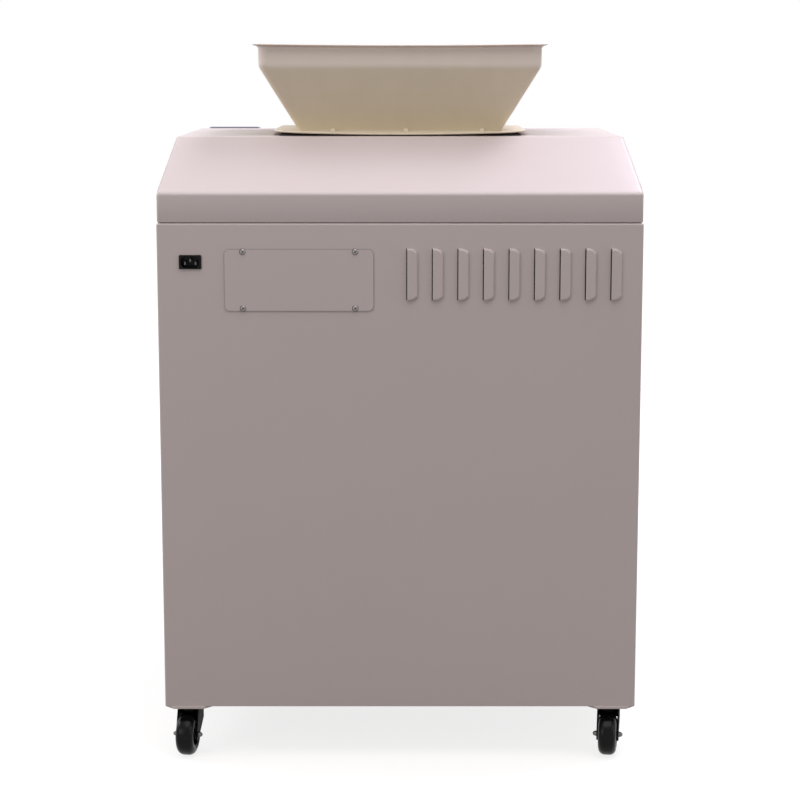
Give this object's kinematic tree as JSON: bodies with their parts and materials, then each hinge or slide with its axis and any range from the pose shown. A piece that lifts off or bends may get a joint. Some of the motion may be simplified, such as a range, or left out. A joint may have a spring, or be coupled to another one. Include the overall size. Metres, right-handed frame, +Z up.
{
  "type": "multifunction shredder",
  "caption": "Cabinet shredder on swivel casters with lift-off hopper, geared twin-shaft cutter block, motor drive, pull-out waste bin and front push buttons.",
  "frame": {"origin": "on the floor under the middle of the cabinet", "axes": "+Z up; -Y out of the back with the mains inlet and louvres, +Y out of the front, the way the bin pulls out; +X to the right as the back is seen"},
  "size_m": [0.64, 0.5355, 0.9625],
  "materials": {
    "powder_coat": "satin warm grey powder coat with a fine orange peel",
    "hood_coat": "satin pale grey powder coat",
    "hopper_plastic": "moulded warm grey plastic, satin",
    "black_plastic": "black nylon",
    "tread": "black rubber",
    "seal": "black foam rubber",
    "zinc": "zinc-plated steel",
    "tool_steel": "ground tool steel",
    "plate_steel": "oiled steel plate",
    "bronze": "sintered bronze",
    "motor_paint": "dark blue-grey enamel",
    "fan_plastic": "black moulded fan",
    "board": "green circuit board",
    "capacitor_can": "drawn aluminium can",
    "bin_plastic": "dark grey moulded plastic",
    "panel_plastic": "violet-grey moulding",
    "green_button": "green push button",
    "yellow_button": "amber push button",
    "red_button": "red push button",
    "lamp_lens": "clear lamp lens"
  },
  "bodies": {
    "cabinet": {"cabinet_shell": "powder_coat", "floor_pan": "powder_coat", "front_panel": "powder_coat", "machine_shelf": "zinc", "top_hood": "hood_coat", "hood_gasket": "seal", "service_cover": "powder_coat", "service_screws": "zinc", "inlet_housing": "black_plastic", "inlet_pins": "zinc", "control_board": "board", "run_capacitor": "capacitor_can", "feed_chute": "zinc", "side_plate_left": "plate_steel", "side_plate_right": "plate_steel", "tie_rods": "zinc", "shaft_bushes": "bronze", "comb_back": "plate_steel", "comb_front": "plate_steel", "idler_stud": "tool_steel", "motor_housing": "motor_paint", "fan_cowl": "motor_paint", "drawer_runners": "zinc", "control_panel": "panel_plastic", "status_lamp": "lamp_lens", "caster_gussets": "powder_coat", "caster_stems": "zinc"},
    "hopper": {"hopper": "hopper_plastic", "hopper_gasket": "seal"},
    "waste_bin": {"bin_tub": "bin_plastic", "bin_front": "powder_coat", "bin_handle": "black_plastic", "bin_rails": "zinc"},
    "cutter_shaft_a": {"shaft_a": "tool_steel", "cutters_a": "tool_steel", "sync_gear_a": "tool_steel", "drive_gear": "tool_steel"},
    "cutter_shaft_b": {"shaft_b": "tool_steel", "cutters_b": "tool_steel", "sync_gear_b": "tool_steel"},
    "idler": {"idler_gear": "tool_steel"},
    "motor_rotor": {"motor_shaft": "tool_steel", "motor_pinion": "tool_steel", "motor_fan": "fan_plastic"},
    "start_button": {"start_button": "green_button"},
    "reverse_button": {"reverse_button": "yellow_button"},
    "stop_button": {"stop_button": "red_button"},
    "fork_rear_left": {"fork_rear_left": "black_plastic", "axle_rear_left": "zinc"},
    "wheel_rear_left": {"wheel_rear_left": "tread"},
    "fork_rear_right": {"fork_rear_right": "black_plastic", "axle_rear_right": "zinc"},
    "wheel_rear_right": {"wheel_rear_right": "tread"},
    "fork_front_left": {"fork_front_left": "black_plastic", "axle_front_left": "zinc"},
    "wheel_front_left": {"wheel_front_left": "tread"},
    "fork_front_right": {"fork_front_right": "black_plastic", "axle_front_right": "zinc"},
    "wheel_front_right": {"wheel_front_right": "tread"}
  },
  "joints": [
    {"name": "hopper_lift", "type": "slide", "parent": "cabinet", "child": "hopper", "axis": [0, 0, 1], "range_m": [0, 0.15]},
    {"name": "bin_slide", "type": "slide", "parent": "cabinet", "child": "waste_bin", "axis": [0, 1, 0], "range_m": [0, 0.36]},
    {"name": "cutter_a_spin", "type": "hinge", "parent": "cabinet", "child": "cutter_shaft_a", "pos_m": [0, -0.041, 0.625], "axis": [1, 0, 0], "continuous": true},
    {"name": "cutter_b_spin", "type": "hinge", "parent": "cabinet", "child": "cutter_shaft_b", "pos_m": [0, 0.021, 0.625], "axis": [1, 0, 0], "continuous": true},
    {"name": "idler_spin", "type": "hinge", "parent": "cabinet", "child": "idler", "pos_m": [0.17, -0.11148, 0.59935], "axis": [1, 0, 0], "continuous": true},
    {"name": "motor_spin", "type": "hinge", "parent": "cabinet", "child": "motor_rotor", "pos_m": [0.05, -0.17909, 0.61747], "axis": [1, 0, 0], "continuous": true},
    {"name": "start_press", "type": "slide", "parent": "cabinet", "child": "start_button", "axis": [0, -0.7122, -0.702], "range_m": [0, 0.002], "stiffness_N_per_m": 400, "springref_m": -0.0005},
    {"name": "reverse_press", "type": "slide", "parent": "cabinet", "child": "reverse_button", "axis": [0, -0.7122, -0.702], "range_m": [0, 0.002], "stiffness_N_per_m": 400, "springref_m": -0.0005},
    {"name": "stop_press", "type": "slide", "parent": "cabinet", "child": "stop_button", "axis": [0, -0.7122, -0.702], "range_m": [0, 0.002], "stiffness_N_per_m": 400, "springref_m": -0.0005},
    {"name": "swivel_rear_left", "type": "hinge", "parent": "cabinet", "child": "fork_rear_left", "pos_m": [-0.288, -0.223, 0.065], "axis": [0, 0, 1], "continuous": true},
    {"name": "roll_rear_left", "type": "hinge", "parent": "fork_rear_left", "child": "wheel_rear_left", "pos_m": [-0.29097, -0.24177, 0.0285], "axis": [0.9877, -0.1564, 0], "continuous": true},
    {"name": "swivel_rear_right", "type": "hinge", "parent": "cabinet", "child": "fork_rear_right", "pos_m": [0.288, -0.223, 0.065], "axis": [0, 0, 1], "continuous": true},
    {"name": "roll_rear_right", "type": "hinge", "parent": "fork_rear_right", "child": "wheel_rear_right", "pos_m": [0.28503, -0.24177, 0.0285], "axis": [0.9877, -0.1564, 0], "continuous": true},
    {"name": "swivel_front_left", "type": "hinge", "parent": "cabinet", "child": "fork_front_left", "pos_m": [-0.288, 0.223, 0.065], "axis": [0, 0, 1], "continuous": true},
    {"name": "roll_front_left", "type": "hinge", "parent": "fork_front_left", "child": "wheel_front_left", "pos_m": [-0.29097, 0.20423, 0.0285], "axis": [0.9877, -0.1564, 0], "continuous": true},
    {"name": "swivel_front_right", "type": "hinge", "parent": "cabinet", "child": "fork_front_right", "pos_m": [0.288, 0.223, 0.065], "axis": [0, 0, 1], "continuous": true},
    {"name": "roll_front_right", "type": "hinge", "parent": "fork_front_right", "child": "wheel_front_right", "pos_m": [0.28503, 0.20423, 0.0285], "axis": [0.9877, -0.1564, 0], "continuous": true}
  ],
  "couplings": [
    {"joint": "cutter_b_spin", "follows": "cutter_a_spin", "ratio": -1},
    {"joint": "idler_spin", "follows": "cutter_a_spin", "ratio": -4},
    {"joint": "motor_spin", "follows": "cutter_a_spin", "ratio": 14.667}
  ]
}
